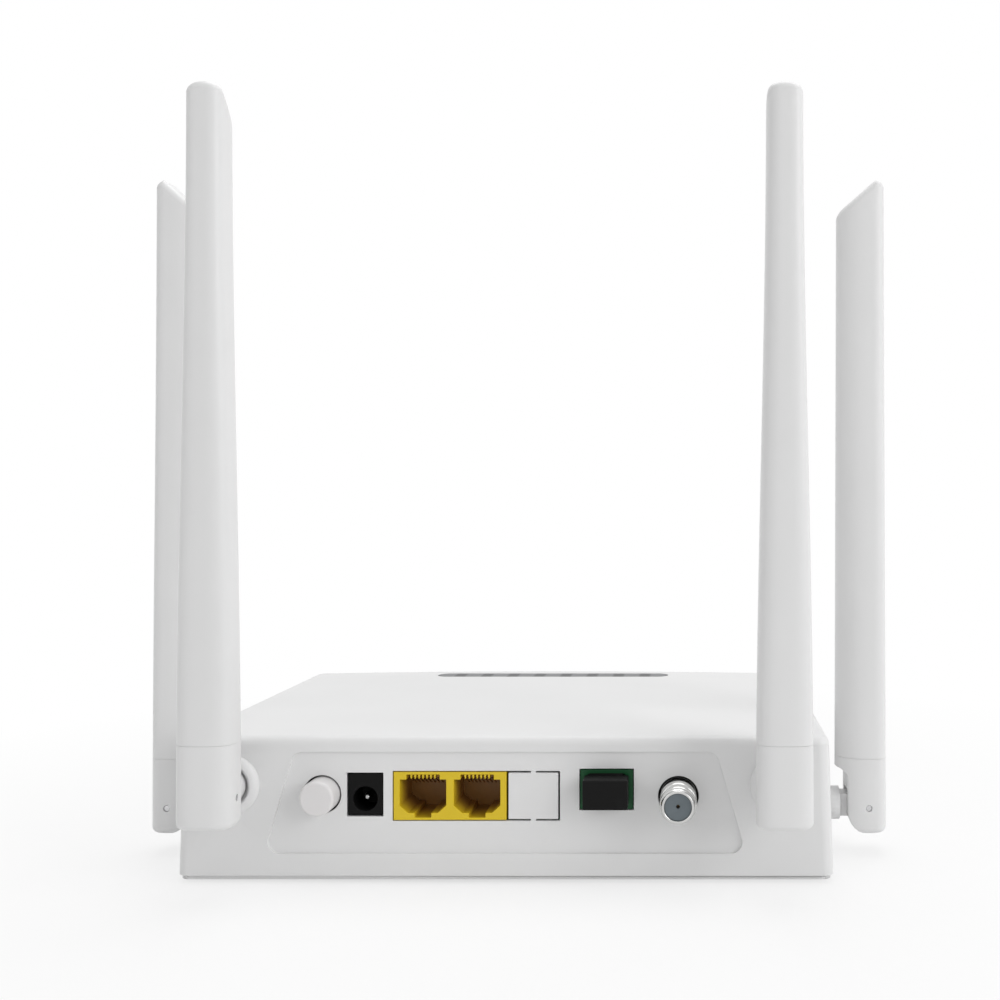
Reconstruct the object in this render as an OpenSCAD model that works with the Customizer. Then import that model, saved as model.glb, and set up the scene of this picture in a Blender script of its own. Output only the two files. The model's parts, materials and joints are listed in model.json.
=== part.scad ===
// Optical network terminal: a low, wide desktop box with its sockets in the
// rear wall, a light bar on top and four folding antennas.
// Frame: +Z up, rear wall faces -Y, origin on the floor under the middle of the
// whole footprint, from the rear antennas to the bowed front edge.

/* [Body] */
// Width of the body along its lower edge
body_w = 170; // [160:1:210]
// Depth of the body at its middle
body_d = 115; // [105:1:150]
// Height of the body without its feet
body_h = 37; // [36:0.5:48]
// How far the front edge bows out at its middle
front_bow = 5.5; // [1:0.5:8]
// How much narrower the top is on each side
side_draft = 1.1; // [0:0.1:2]
// Radius of the upright corners
corner_r = 3.2; // [2.9:0.1:6]
// Radius along the top edges
edge_r = 2.4; // [1:0.1:2.7]
// Thickness of the cover's walls
wall = 2.2; // [1.8:0.1:2.8]
// Thickness of the base plate
base_t = 2; // [1.6:0.1:3]
// Height of the rubber feet below the base
foot_h = 1; // [0.6:0.1:2]
// Radius of a rubber foot
foot_r = 5.5; // [4:0.1:7]

/* [Rear panel] */
// Depth of the shallow field around the sockets
field_depth = 0.8; // [0.3:0.1:1]
// Width of the field along its lower edge
field_low_w = 122.4; // [118:0.1:124]
// Width of the field along its upper edge
field_top_w = 110.4; // [108:0.1:114]
// Height of the field's lower edge above the base
field_low = 6.8; // [5:0.1:8]
// Height of the field's upper edge above the base
field_top = 33; // [31:0.1:33]
// Thickness of the circuit board
board_t = 1.6; // [1:0.1:1.8]
// Height of the board's upper face above the base
board_top = 15.3; // [15:0.1:15.4]
// Gap between a socket and the opening it looks out of
port_gap = 0.25; // [0.15:0.05:0.3]

/* [Sockets] */
// Place of the power button across the rear wall
button_x = -47.4; // [-48:0.1:-47.2]
// Height of the power button above the base
button_up = 21.9; // [21:0.1:22]
// Radius of the power button
button_r = 4.5; // [4:0.1:4.6]
// How far the button stands out
button_out = 4.3; // [3:0.1:6]
// Travel of the power button
button_travel = 2; // [1:0.1:2.2]
// Place of the power inlet across the rear wall
inlet_x = -36.3; // [-36.5:0.1:-36]
// Width of the power inlet's housing
inlet_w = 9; // [8:0.1:9]
// Height of the power inlet's housing
inlet_h = 12; // [10:0.1:12.1]
// Radius of the barrel hole in the power inlet
inlet_r = 3.15; // [2.8:0.05:3.3]
// Radius of the pin in the power inlet
inlet_pin_r = 1; // [0.8:0.05:1.2]
// Place of the network socket block across the rear wall
lan_x = -14.35; // [-14.6:0.05:-14.2]
// Distance between the two network sockets
lan_pitch = 14; // [13.8:0.05:14.1]
// Width of the network socket block
lan_w = 29.2; // [28.8:0.1:29.4]
// Height of the network socket block
lan_h = 12.4; // [12.2:0.1:12.8]
// Width of a network socket's mouth
lan_mouth_w = 12; // [11.8:0.1:12.2]
// Place of the blank plate across the rear wall
blank_x = 7.2; // [7.15:0.05:7.3]
// Width of the blank plate
blank_w = 12.8; // [11:0.1:12.9]
// Slit around the blank plate
blank_slit = 0.5; // [0.3:0.05:0.6]
// Width of the blank plate's two bridges
blank_bridge = 1.3; // [0.8:0.1:2]
// Place of the optical socket across the rear wall
optical_x = 26.15; // [25.5:0.05:26.5]
// Height of the optical socket's middle above the base
optical_up = 23.2; // [22.8:0.1:23.4]
// Width of the optical socket
optical_w = 13.6; // [13:0.1:13.8]
// Height of the optical socket
optical_h = 10.2; // [9.8:0.1:10.4]
// How far the dust cap stands out
cap_out = 5.5; // [4:0.1:8]
// Place of the cable TV socket across the rear wall
catv_x = 44.7; // [44:0.1:45]
// Height of the cable TV socket above the base
catv_up = 21.4; // [21:0.1:22]
// Outer radius of the cable TV socket's barrel
catv_r = 4.76; // [4.5:0.01:4.8]
// How far the barrel stands out
catv_out = 10.3; // [8:0.1:12]

/* [Light bar] */
// Length of the light bar
light_len = 80; // [60:1:90]
// Width of the light bar
light_w = 7.4; // [5:0.1:8]
// Distance from the bowed front edge to the bar's middle
light_back = 11; // [10:0.5:16]
// Number of lights under the bar
light_count = 8; // [4:1:8]

/* [Antennas] */
// Overall length of an antenna
antenna_len = 183; // [150:1:200]
// Width of an antenna at its foot
antenna_w = 14.1; // [13.8:0.1:14.4]
// Width of an antenna at its tip
tip_w = 9; // [8.6:0.1:11]
// Thickness of an antenna at its foot
antenna_t = 14.1; // [13.8:0.1:14.4]
// Thickness of an antenna at its tip
tip_t = 13.2; // [12:0.1:13.4]
// Height of the foot piece that holds the hinge
knuckle_h = 21; // [19:0.5:26]
// Gap between an upright antenna and the wall behind it
antenna_gap = 4; // [3.6:0.1:5]
// Distance of the rear antennas from the body's middle
rear_antenna_x = 71; // [70:0.5:71.5]
// Height of the rear antennas' hinges above the base
rear_antenna_up = 24.6; // [24.5:0.1:26]
// Distance of the side antennas in front of the rear wall
side_antenna_y = 29; // [28:0.5:31]
// Height of the side antennas' hinges above the base
side_antenna_up = 12.5; // [12:0.1:14]
// Radius of the hinge pin
pin_r = 0.9; // [0.8:0.05:1.1]
// Running clearance of the hinge pin and the swivel
run_gap = 0.06; // [0.03:0.01:0.08]

/* [Hidden] */
$fn = 48;
HULL_FN = 32; // facets of the round corners in a hull
eps = 0.01; // thickness of a hull's slices
cut = 1; // how far a cut runs past the face it opens
seat = 0.3; // gap between pieces that don't hold each other

// ---- body ----
under_z = foot_h;
top_z = under_z + body_h;
pin_to_outer = 5.4; // distance of an antenna's pin from its outer face
pin_to_inner = antenna_t - pin_to_outer;
pin_out = antenna_gap + pin_to_inner; // distance of the pin from the wall
front_y = (body_d + pin_out + pin_to_outer) / 2;
rear_y = front_y - body_d;
roof_t = wall;
roof_z = top_z - roof_t; // underside of the cover's roof
rim_t = 1.1; // flange of the base below the cover's rim
rim_inset = 0.7; // shadow line between the flange and the cover
cover_z = under_z + rim_t; // lower edge of the cover
spigot_t = 1.4; // upstand of the base inside the cover
spigot_h = 2.4;
inner_rear_y = rear_y + wall;
field_floor_y = rear_y + field_depth;
field_r = 3;

// ---- board ----
board_z = under_z + board_top;
board_w = body_w - 34;
board_d = body_d - 22;
board_rear_y = inner_rear_y + 1;
board_front_y = board_rear_y + board_d;
board_mid_y = (board_rear_y + board_front_y) / 2;

processor_w = 19;
processor_t = 1.6;
processor_x = 6;
heat_sink_w = 38;

// ---- case screws ----
screw_r = 1.5;
screw_head_r = 2.8;
screw_head_h = 2;
screw_len = 12;
post_r = 3.6;
pilot_r = 1.3;
screw_x = body_w / 2 - 8.6;
screw_rear_y = rear_y + 17;
screw_front_y = front_y - front_bow - 9;
SCREW_SPOTS = [for (x = [-screw_x, screw_x], y = [screw_rear_y, screw_front_y]) [x, y]];
board_screw_r = 1.2;
standoff_r = 3;
standoff_in = 5; // distance of a board screw from the board's edges
STANDOFFS = [for (x = [-1, 1], y = [board_rear_y + 18, board_front_y - standoff_in])
    [x * (board_w / 2 - standoff_in), y]];
FOOT_SPOTS = [for (x = [-1, 1], y = [rear_y + 32, front_y - front_bow - 24])
    [x * (body_w / 2 - 14), y]];

// ---- wall hanging slots ----
hanger_pitch = 100;
hanger_y = rear_y + 65;
hanger_head_r = 4;
hanger_neck_r = 2;
hanger_slide = 8;

// ---- power button ----
button_z = under_z + button_up;
button_hole_r = button_r + 0.45;
button_skirt = 2.2; // retaining collar behind the wall
plunger_w = 3.2;
plunger_gap = 0.15;
switch_w = 8.5;
switch_d = 10;
switch_y = inner_rear_y + button_travel + button_skirt + 1.6;
plunger_y = switch_y - 1.2; // where the plunger enters the cap

// ---- power inlet ----
inlet_z = board_z + 5.4;
inlet_sill = 0.9; // how far the wall covers the inlet's foot
inlet_d = 14;
inlet_bore_d = 10;

// ---- network sockets ----
lan_d = 16;
lan_mouth_d = 13;
lan_floor_z = board_z + 3.1;
lan_roof_z = lan_floor_z + 7.3;
lan_notch_w = 4.3; // the latch's slot, at the bottom
lan_notch_h = 2.5;
lan_step_w = 7.6; // the shoulder above the latch's slot
lan_step_h = 1.3;
lan_chamfer = 1.2;
lan_comb_w = 8.6; // the wires' comb, at the top
lan_comb_h = 1.3;
lan_wire_pitch = 1.02;
lan_wire_w = 0.46;
lan_wire_t = 0.3;
LAN_CENTRES = [lan_x - lan_pitch / 2, lan_x + lan_pitch / 2];

// ---- optical socket ----
optical_z = under_z + optical_up;
optical_d = 22;
optical_mouth_w = 9.6;
optical_mouth_h = 7.8;
optical_mouth_d = 11;
optical_bore_r = 2.1;
sleeve_r = 1.6;
sleeve_bore_r = 1.25;
sleeve_len = 13;
module_w = 11;
module_h = 8;
module_d = 16;
nose_d = 3; // end of the module's barrel
cap_w = 11.4;
cap_h = 7.6;
cap_plug_gap = 0.15;
cap_plug_d = 8;
cap_bore_r = 2.4;
cap_grip_r = 0.9;

heat_sink_y = field_floor_y + optical_d + module_d + nose_d + 1.5;
processor_y = heat_sink_y + (heat_sink_w - processor_w) / 2;

// ---- cable TV socket ----
catv_z = under_z + catv_up;
catv_hole_r = catv_r + 0.5;
catv_bore_r = 3.4;
catv_flange_r = 6;
catv_flange_t = 2.6;
catv_tail = 9;
catv_tip = 0.6;
catv_neck_r = catv_r - 0.4; // behind the thread's last turn
catv_flange_y = inner_rear_y + seat;
catv_pin_r = 0.6;
catv_can_y = catv_flange_y + catv_flange_t + catv_tail + 0.5;
catv_can_d = 26;

// ---- light bar ----
light_y = front_y - light_back;
light_r = light_w / 2;
light_board_z = roof_z - 5.6;
light_board_t = 1;
light_post_r = 2;
light_post_y = light_y - light_r - light_post_r - 0.4; // posts stand behind the bar's slot
light_board_y = light_post_y - light_post_r;
light_board_w = light_y + light_r - light_board_y;

// ---- antennas ----
knuckle_pin_up = 7.2; // height of the pin above the antenna's lower end
hub_back_r = 5.6; // rounding of the foot's lower inner corner about the pin
collar_r = 4.6;
collar_end = pin_out - knuckle_pin_up - 0.4; // outer end of the collar, from the wall
tongue_t = 6;
tongue_gap = 0.35;
tongue_r = 3.9;
boss_r = 7.9;
boss_h = 1.9;
boss_slit = 0.9; // groove round the collar in the boss
stub_r = 4.2;
stub_bore_r = 1.5;
stub_flange_r = 5.4;
stub_flange_t = 1.4;
radome_wall = 1.5;
radome_slope = 9.6; // height that the tip loses towards the body
radome_steps = 14;
radiator_t = 0.8;
radiator_w = 5.4;
lead_r = 0.6;
side_pivot_z = under_z + side_antenna_up;
rear_pivot_z = under_z + rear_antenna_up;
side_wall_x = body_w / 2 - side_draft * side_antenna_up / body_h;
// name, place of the hinge pin, turn about Z from a wall that lies towards +Y
ANTENNAS = [
    ["rear_left", [-rear_antenna_x, rear_y - pin_out, rear_pivot_z], 0],
    ["rear_right", [rear_antenna_x, rear_y - pin_out, rear_pivot_z], 0],
    ["side_left", [-side_wall_x - pin_out, rear_y + side_antenna_y, side_pivot_z], -90],
    ["side_right", [side_wall_x + pin_out, rear_y + side_antenna_y, side_pivot_z], 90],
];
BOX_NODES = ["top_cover", "base_tray", "rubber_feet", "case_screws", "main_board", "board_screws",
    "power_button", "switch_plunger", "power_switch", "inlet_housing", "inlet_pin",
    "lan_housing", "lan_contacts", "optical_adapter", "optical_sleeve", "optical_module",
    "dust_cap", "catv_barrel", "catv_insulator", "catv_contact", "catv_shield_can",
    "light_bar", "light_board", "lights", "light_ribbon", "processor", "heat_sink",
    "memory_chips", "radio_shield_cans", "lan_transformers", "capacitors", "inductors",
    "antenna_leads", "antenna_sockets"];
ANTENNA_PARTS = ["swivel", "hinge_pin", "knuckle", "radome", "radiator"];

// ---- helpers ----
// A block by its width, depth and height, centred in X, from a rear face and a floor.
module block(size, x, y, z) translate([x - size[0] / 2, y, z]) cube(size);

// A cylinder that runs inwards from a rear place, along +Y.
module bar_in(r, len, x, y, z) translate([x, y, z]) rotate([-90, 0, 0]) cylinder(r = r, h = len);

// A thin eight-sided lead through a list of points, mitred at each bend.
function unit(v) = v / norm(v);
function lead_ring(at, along, r) = let (across = unit(cross(along, [1, 1.3, 0.2])), up = cross(along, across))
    [for (a = [0 : 45 : 315]) at + r * (across * cos(a) + up * sin(a))];
module lead(points, r) {
    last = len(points) - 1;
    rings = [for (i = [0 : last])
        each lead_ring(points[i], unit(points[min(i + 1, last)] - points[max(i - 1, 0)]), r)];
    sides = [for (i = [0 : last - 1], j = [0 : 7]) let (k = (j + 1) % 8)
        each [[8 * i + j, 8 * i + k, 8 * i + 8 + k], [8 * i + j, 8 * i + 8 + k, 8 * i + 8 + j]]];
    polyhedron(rings, concat(sides, [[for (j = [7 : -1 : 0]) j], [for (j = [0 : 7]) 8 * last + j]]));
}

// Moves an antenna piece from its own frame: pin at the origin, wall towards +Y.
module place_antenna(antenna) translate(antenna[1]) rotate([0, 0, antenna[2]]) children();

// Front edge of the body at a place across it.
function bowed_front(x) = front_y - front_bow * pow(2 * x / body_w, 2);

// Centres of the upright corner rounds, inset from the body's lower outline.
function outline_spots(inset, r) = let (side = body_w / 2 - inset - r) concat(
    [for (x = [-side, side]) [x, rear_y + inset + r]],
    [for (i = [-4 : 4]) [side * i / 4, bowed_front(side * i / 4) - inset - r]]);

// One thin slice of the body's outline; the sides lean in as it rises.
module outline_slice(inset, z, draft = 0) {
    r = max(corner_r - inset, 0.4);
    squeeze = (body_w - 2 * draft) / body_w;
    translate([0, 0, z]) scale([squeeze, 1, 1])
        for (p = outline_spots(inset, r)) translate([p[0], p[1], 0]) cylinder(r = r, h = eps, $fn = HULL_FN);
}

// The body's outline as points, inset from its lower edge.
function corner(x, y, r, from) = [for (a = [from : 15 : from + 90]) [x + r * cos(a), y + r * sin(a)]];
function outline(inset) = let (r = max(corner_r - inset, 0.4), side = body_w / 2 - inset - r,
    low = rear_y + inset + r, high = bowed_front(side) - inset - r) concat(
    corner(side, low, r, -90), corner(side, high, r, 0),
    [for (i = [3 : -1 : -3]) [side * i / 4, bowed_front(side * i / 4) - inset]],
    corner(-side, high, r, 90), corner(-side, low, r, 180));
module outline_plate(inset, z, height) translate([0, 0, z]) linear_extrude(height) polygon(outline(inset));

// The outer form of the cover, with its rounded top edge.
module cover_form() hull() {
    outline_slice(0, cover_z);
    for (a = [0 : 22.5 : 90])
        outline_slice(edge_r * (1 - cos(a)), top_z - edge_r + edge_r * sin(a) - eps, side_draft);
}

// The room inside the cover.
module cover_room() hull() {
    outline_slice(wall, cover_z - cut);
    outline_slice(wall, roof_z - eps, side_draft);
}

// ---- casing ----
module antenna_boss() {
    // a shallow dome on the wall with a groove round the collar
    rotate([90, 0, 0]) translate([0, 0, -pin_out]) rotate_extrude()
        polygon(concat([[0, -wall / 2], [boss_r, -wall / 2]],
            [for (a = [0 : 15 : 75]) [boss_slit + collar_r + (boss_r - collar_r - boss_slit) * cos(a),
                boss_h * sin(a)]],
            [[collar_r + boss_slit, boss_h], [collar_r + boss_slit, boss_h - 1.2], [0, boss_h - 1.2]]));
}

module swivel_hole() rotate([90, 0, 0])
    translate([0, 0, -pin_out - wall - 2 * cut]) cylinder(r = stub_r + run_gap, h = wall + boss_h + 4 * cut);

module field_cut() hull()
    for (side = [-1, 1], z = [field_low + field_r, field_top - field_r])
        bar_in(field_r, field_depth + cut,
            side * ((z < field_top / 2 ? field_low_w : field_top_w) / 2 - field_r), rear_y - cut, under_z + z,
            $fn = HULL_FN);

module socket_openings() {
    depth = wall + 2 * cut;
    y = rear_y - cut;
    lan_low = board_z - port_gap;
    lan_open_h = lan_h + 2 * port_gap;
    lan_left = lan_x - lan_w / 2 - port_gap;
    blank_right = blank_x + blank_w / 2 + blank_slit;
    bar_in(button_hole_r, depth, button_x, y, button_z);
    block([inlet_w + 2 * port_gap, depth, inlet_h + port_gap - inlet_sill], inlet_x, y, board_z + inlet_sill);
    difference() {
        block([blank_right - lan_left, depth, lan_open_h], (blank_right + lan_left) / 2, y, lan_low);
        block([blank_w, depth, lan_open_h - 2 * blank_slit], blank_x, y, lan_low + blank_slit);
        block([blank_bridge, depth, lan_open_h], blank_x, y, lan_low);
    }
    block([optical_w + 2 * port_gap, depth, optical_h + 2 * port_gap], optical_x, y,
        optical_z - optical_h / 2 - port_gap);
    bar_in(catv_hole_r, depth, catv_x, y, catv_z);
}

module bar_slot(grow, low, high) {
    for (side = [-1, 1]) translate([side * (light_len / 2 - light_r), light_y, low])
        cylinder(r = light_r + grow, h = high - low);
    block([light_len - light_w, light_w + 2 * grow, high - low], 0, light_y - light_r - grow, low);
}

module top_cover() color("whitesmoke") difference() {
    union() {
        difference() {
            cover_form();
            cover_room();
        }
        for (p = SCREW_SPOTS) translate([p[0], p[1], cover_z + spigot_h])
            cylinder(r = post_r, h = roof_z + roof_t / 2 - cover_z - spigot_h);
        for (side = [-1, 1])
            translate([side * (light_len / 2 - light_r), light_post_y, light_board_z + light_board_t])
                cylinder(r = light_post_r, h = roof_z + roof_t / 2 - light_board_z - light_board_t);
        for (a = ANTENNAS) place_antenna(a) antenna_boss();
    }
    field_cut();
    socket_openings();
    bar_slot(0.1, roof_z - cut, top_z + cut);
    for (a = ANTENNAS) place_antenna(a) swivel_hole();
    for (p = SCREW_SPOTS) translate([p[0], p[1], cover_z]) cylinder(r = pilot_r, h = screw_len);
}

module hanger_cut() for (side = [-1, 1]) translate([side * hanger_pitch / 2, hanger_y, under_z - cut]) {
    cylinder(r = hanger_head_r, h = base_t + 2 * cut);
    translate([0, hanger_slide, 0]) cylinder(r = hanger_neck_r, h = base_t + 2 * cut);
    translate([-hanger_neck_r, 0, 0]) cube([2 * hanger_neck_r, hanger_slide, base_t + 2 * cut]);
}

module vent_cuts() {
    slot = [1.8, 22];
    rows = [rear_y + 26, rear_y + 66];
    for (y = rows, i = [-8 : 8]) if (abs(abs(i * 5) - hanger_pitch / 2) > hanger_head_r + 2)
        translate([i * 5 - slot[0] / 2, y, under_z - cut]) cube([slot[0], slot[1], base_t + 2 * cut]);
}

module base_tray() color("gainsboro") difference() {
    union() {
        outline_plate(rim_inset, under_z, rim_t);
        difference() {
            outline_plate(wall + seat, under_z + rim_t / 2, rim_t / 2 + spigot_h);
            outline_plate(wall + seat + spigot_t, under_z + base_t, rim_t + spigot_h);
        }
        for (p = STANDOFFS) translate([p[0], p[1], under_z])
            cylinder(r = standoff_r, h = board_top - board_t);
        for (p = SCREW_SPOTS) translate([p[0], p[1], under_z])
            cylinder(r = post_r, h = cover_z + spigot_h - under_z);
    }
    for (p = SCREW_SPOTS) translate([p[0], p[1], 0]) {
        cylinder(r = screw_r + 0.2, h = top_z / 2);
        cylinder(r = screw_head_r + 0.3, h = under_z + screw_head_h + 0.2);
    }
    for (p = STANDOFFS) translate([p[0], p[1], board_z - 9]) cylinder(r = board_screw_r - 0.2, h = 20);
    for (p = FOOT_SPOTS) translate([p[0], p[1], under_z - cut]) cylinder(r = foot_r + 0.1, h = cut + 0.6);
    hanger_cut();
    vent_cuts();
}

module rubber_feet() color("dimgray")
    for (p = FOOT_SPOTS) translate([p[0], p[1], 0]) {
        cylinder(r1 = foot_r - 0.5, r2 = foot_r, h = 0.4);
        translate([0, 0, 0.4]) cylinder(r = foot_r, h = under_z + 0.2);
    }

module screw(shank_r, head_r, head_h, length) {
    difference() {
        cylinder(r = head_r, h = head_h);
        translate([0, 0, -eps]) cylinder(r = head_r * 0.5, h = head_h * 0.6, $fn = 6);
    }
    translate([0, 0, head_h]) cylinder(r = shank_r, h = length);
}

module case_screws() color("silver")
    for (p = SCREW_SPOTS) translate([p[0], p[1], under_z + 0.2])
        screw(pilot_r, screw_head_r, screw_head_h, screw_len - 2);

// ---- circuit board and what it carries ----
module main_board() color("darkgreen") difference() {
    block([board_w, board_d, board_t], 0, board_rear_y, board_z - board_t);
    for (p = STANDOFFS) translate([p[0], p[1], board_z - board_t - cut])
        cylinder(r = board_screw_r + 0.2, h = board_t + 2 * cut);
}

module board_screws() color("silver")
    for (p = STANDOFFS) translate([p[0], p[1], board_z + 1.4]) mirror([0, 0, 1])
        screw(board_screw_r - 0.2, 2.2, 1.4, 8);

module processor() color("dimgray")
    block([processor_w, processor_w, processor_t], processor_x, processor_y, board_z);

module heat_sink() color("silver") {
    plate_t = 2;
    fin_t = 1.4;
    fin_h = 6;
    fin_count = 9;
    low = board_z + processor_t;
    block([heat_sink_w, heat_sink_w, plate_t], processor_x, heat_sink_y, low);
    for (i = [0 : fin_count - 1])
        translate([processor_x - heat_sink_w / 2 + i * (heat_sink_w - fin_t) / (fin_count - 1), heat_sink_y,
            low + plate_t - eps]) cube([fin_t, heat_sink_w, fin_h]);
}

module memory_chips() color("dimgray") {
    block([13, 9, 1.2], -22, board_mid_y + 16, board_z);
    block([8, 13, 1.2], -26, board_mid_y - 6, board_z);
}

module radio_shield_cans() color("silver") for (side = [-1, 1])
    block([26, 20, 3], side * 46, board_front_y - 30, board_z);

module lan_transformers() color("black") for (x = LAN_CENTRES)
    block([12.6, 9.4, 4.6], x, field_floor_y + lan_d + 3, board_z);

module capacitors() color("midnightblue") {
    for (i = [0 : 2]) translate([-48 + 11 * i, board_mid_y - 14, board_z]) cylinder(r = 4, h = 11.5);
    translate([catv_x + 4, catv_can_y + catv_can_d + 5, board_z]) cylinder(r = 3.2, h = 8);
}

module inductors() color("gray") for (i = [0 : 1])
    block([7, 7, 3.6], -57 + 12 * i, board_mid_y - 3, board_z);

// ---- power button and switch ----
module power_button() color("whitesmoke") {
    tip_y = rear_y - button_out;
    round_r = 0.9;
    difference() {
        translate([button_x, tip_y, button_z]) rotate([-90, 0, 0]) rotate_extrude()
            polygon(concat([[0, 0]],
                [for (a = [90 : -15 : 0]) [button_r - round_r + round_r * cos(a), round_r - round_r * sin(a)]],
                [[button_r, inner_rear_y + 0.2 - tip_y], [button_r + 1, inner_rear_y + 0.2 - tip_y],
                 [button_r + 1, inner_rear_y + 0.2 - tip_y + 1.4], [0, inner_rear_y + 0.2 - tip_y + 1.4]]));
        block([plunger_w, 20, plunger_w], button_x, inner_rear_y - 1, button_z - plunger_w / 2);
    }
}

module switch_plunger() color("white")
    block([plunger_w, 8 + switch_y - inner_rear_y, plunger_w], button_x, inner_rear_y - 1,
        button_z - plunger_w / 2);

module power_switch() color("black") difference() {
    block([switch_w, switch_d, button_z + switch_w / 2 - board_z], button_x, switch_y, board_z);
    block([plunger_w + 2 * plunger_gap, switch_d - 0.8, plunger_w + 2 * plunger_gap], button_x,
        switch_y - eps, button_z - plunger_w / 2 - plunger_gap);
}

// ---- power inlet ----
module inlet_housing() color("black") difference() {
    nose_z = board_z + inlet_sill + port_gap;
    union() {
        block([inlet_w, inlet_d, board_z + inlet_h - nose_z], inlet_x, field_floor_y + 0.4, nose_z);
        block([inlet_w, field_floor_y + 0.4 + inlet_d - inner_rear_y - seat, inlet_h], inlet_x,
            inner_rear_y + seat, board_z);
    }
    bar_in(inlet_r, inlet_bore_d, inlet_x, field_floor_y - cut, inlet_z);
}

module inlet_pin() color("silver")
    bar_in(inlet_pin_r, inlet_bore_d - cut - 1.6, inlet_x, field_floor_y + 1.6, inlet_z);

// ---- network sockets ----
// Half of a mouth's outline, from its bottom to its top, then mirrored.
LAN_SIDE = [
    [lan_notch_w / 2, -lan_notch_h], [lan_notch_w / 2, -lan_step_h], [lan_step_w / 2, -lan_step_h],
    [lan_mouth_w / 2, lan_chamfer - 0.6], [lan_mouth_w / 2, lan_roof_z - lan_floor_z],
    [lan_comb_w / 2, lan_roof_z - lan_floor_z], [lan_comb_w / 2, lan_roof_z - lan_floor_z + lan_comb_h],
];
module lan_mouth(x) translate([x, field_floor_y + lan_mouth_d, lan_floor_z]) rotate([90, 0, 0])
    linear_extrude(lan_mouth_d + cut)
        polygon(concat(LAN_SIDE, [for (i = [len(LAN_SIDE) - 1 : -1 : 0]) [-LAN_SIDE[i][0], LAN_SIDE[i][1]]]));

module lan_housing() color("gold") difference() {
    block([lan_w, lan_d, lan_h], lan_x, field_floor_y, board_z);
    for (x = LAN_CENTRES) lan_mouth(x);
}

// One sprung wire: along the roof of the comb, round a tight bend and back down.
module lan_wire(x) {
    bend_y = field_floor_y + 1.5;
    top = lan_roof_z + lan_comb_h - 0.05;
    translate([x + lan_wire_w / 2, 0, 0]) rotate([90, 0, -90]) linear_extrude(lan_wire_w) polygon([
        [-(field_floor_y + lan_mouth_d), top],
        [-bend_y, top],
        [-bend_y, top - lan_wire_t],
        [-(bend_y + 7), top - 4.2],
        [-(bend_y + 7), top - 4.2 + lan_wire_t],
        [-(bend_y + 1), top - lan_wire_t],
        [-(field_floor_y + lan_mouth_d), top - lan_wire_t],
    ]);
}

module lan_contacts() color("goldenrod")
    for (x = LAN_CENTRES, i = [0 : 7]) lan_wire(x + (i - 3.5) * lan_wire_pitch);

// ---- optical socket ----
module optical_adapter() color("green") difference() {
    union() {
        block([optical_w, optical_d, optical_h], optical_x, field_floor_y, optical_z - optical_h / 2);
        block([optical_w - 3, optical_d - 6, optical_z - board_z], optical_x, field_floor_y + 3, board_z);
    }
    block([optical_mouth_w, optical_mouth_d + cut, optical_mouth_h], optical_x, field_floor_y - cut,
        optical_z - optical_mouth_h / 2);
    bar_in(sleeve_r, optical_d, optical_x, field_floor_y + cut, optical_z);
}

module optical_sleeve() color("white") difference() {
    y = field_floor_y + optical_mouth_d - 6;
    bar_in(sleeve_r, sleeve_len, optical_x, y, optical_z);
    bar_in(sleeve_bore_r, sleeve_len + 2 * cut, optical_x, y - cut, optical_z);
}

module optical_module() color("silver") {
    y = field_floor_y + optical_d;
    block([module_w, module_d, module_h], optical_x, y, optical_z - module_h / 2);
    bar_in(2.8, nose_d, optical_x, y + module_d, optical_z);
    for (side = [-1, 1]) block([1, module_d - 4, optical_z - module_h / 2 - board_z],
        optical_x + side * (module_w / 2 - 1), y + 2, board_z);
}

module dust_cap() color("black") {
    head_y = rear_y - cap_out;
    difference() {
        union() {
            block([cap_w, field_floor_y - 0.1 - head_y, cap_h], optical_x, head_y, optical_z - cap_h / 2);
            block([optical_mouth_w - 2 * cap_plug_gap, cap_plug_d, optical_mouth_h - 2 * cap_plug_gap],
                optical_x, field_floor_y - 0.2, optical_z - optical_mouth_h / 2 + cap_plug_gap);
        }
        bar_in(cap_bore_r, cap_plug_d + 2 * cut, optical_x, field_floor_y - cut, optical_z);
    }
}

// ---- cable TV socket ----
module catv_barrel() color("silver") {
    tip_y = rear_y - catv_out;
    difference() {
        union() {
            translate([catv_x, tip_y, catv_z]) rotate([-90, 0, 0]) {
                cylinder(r1 = catv_r - catv_tip, r2 = catv_r, h = catv_tip);
                translate([0, 0, catv_tip]) cylinder(r = catv_r, h = catv_out - catv_tip);
                cylinder(r = catv_neck_r, h = catv_flange_y + catv_flange_t + catv_tail - tip_y);
            }
            bar_in(catv_flange_r, catv_flange_t, catv_x, catv_flange_y, catv_z);
        }
        bar_in(catv_bore_r, catv_flange_y + catv_flange_t + catv_tail - 2 - tip_y, catv_x, tip_y - eps, catv_z);
    }
}

module catv_insulator() color("lightgray") difference() {
    bar_in(catv_bore_r, catv_out + wall, catv_x, rear_y - catv_out + 0.5, catv_z);
    bar_in(catv_pin_r + 0.35, catv_out + wall + 2, catv_x, rear_y - catv_out + 0.5 - cut, catv_z);
}

module catv_contact() color("goldenrod") difference() {
    bar_in(catv_pin_r + 0.35, catv_out, catv_x, rear_y - catv_out + 1.6, catv_z);
    bar_in(catv_pin_r, catv_out - 2, catv_x, rear_y - catv_out, catv_z);
}

module catv_shield_can() color("silver")
    block([20, catv_can_d, 9], catv_x + 1, catv_can_y, board_z);

// ---- light bar ----
module light_bar() color("darkslategray") bar_slot(0, roof_z, top_z - 0.05);

module light_board() color("darkgreen")
    block([light_len - 2, light_board_w, light_board_t], 0, light_board_y, light_board_z);

module lights() color("white") for (i = [0 : light_count - 1])
    block([3, 1.6, 1.2], (i - (light_count - 1) / 2) * (light_len - 16) / (light_count - 1), light_y - 0.8,
        light_board_z + light_board_t);

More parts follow.
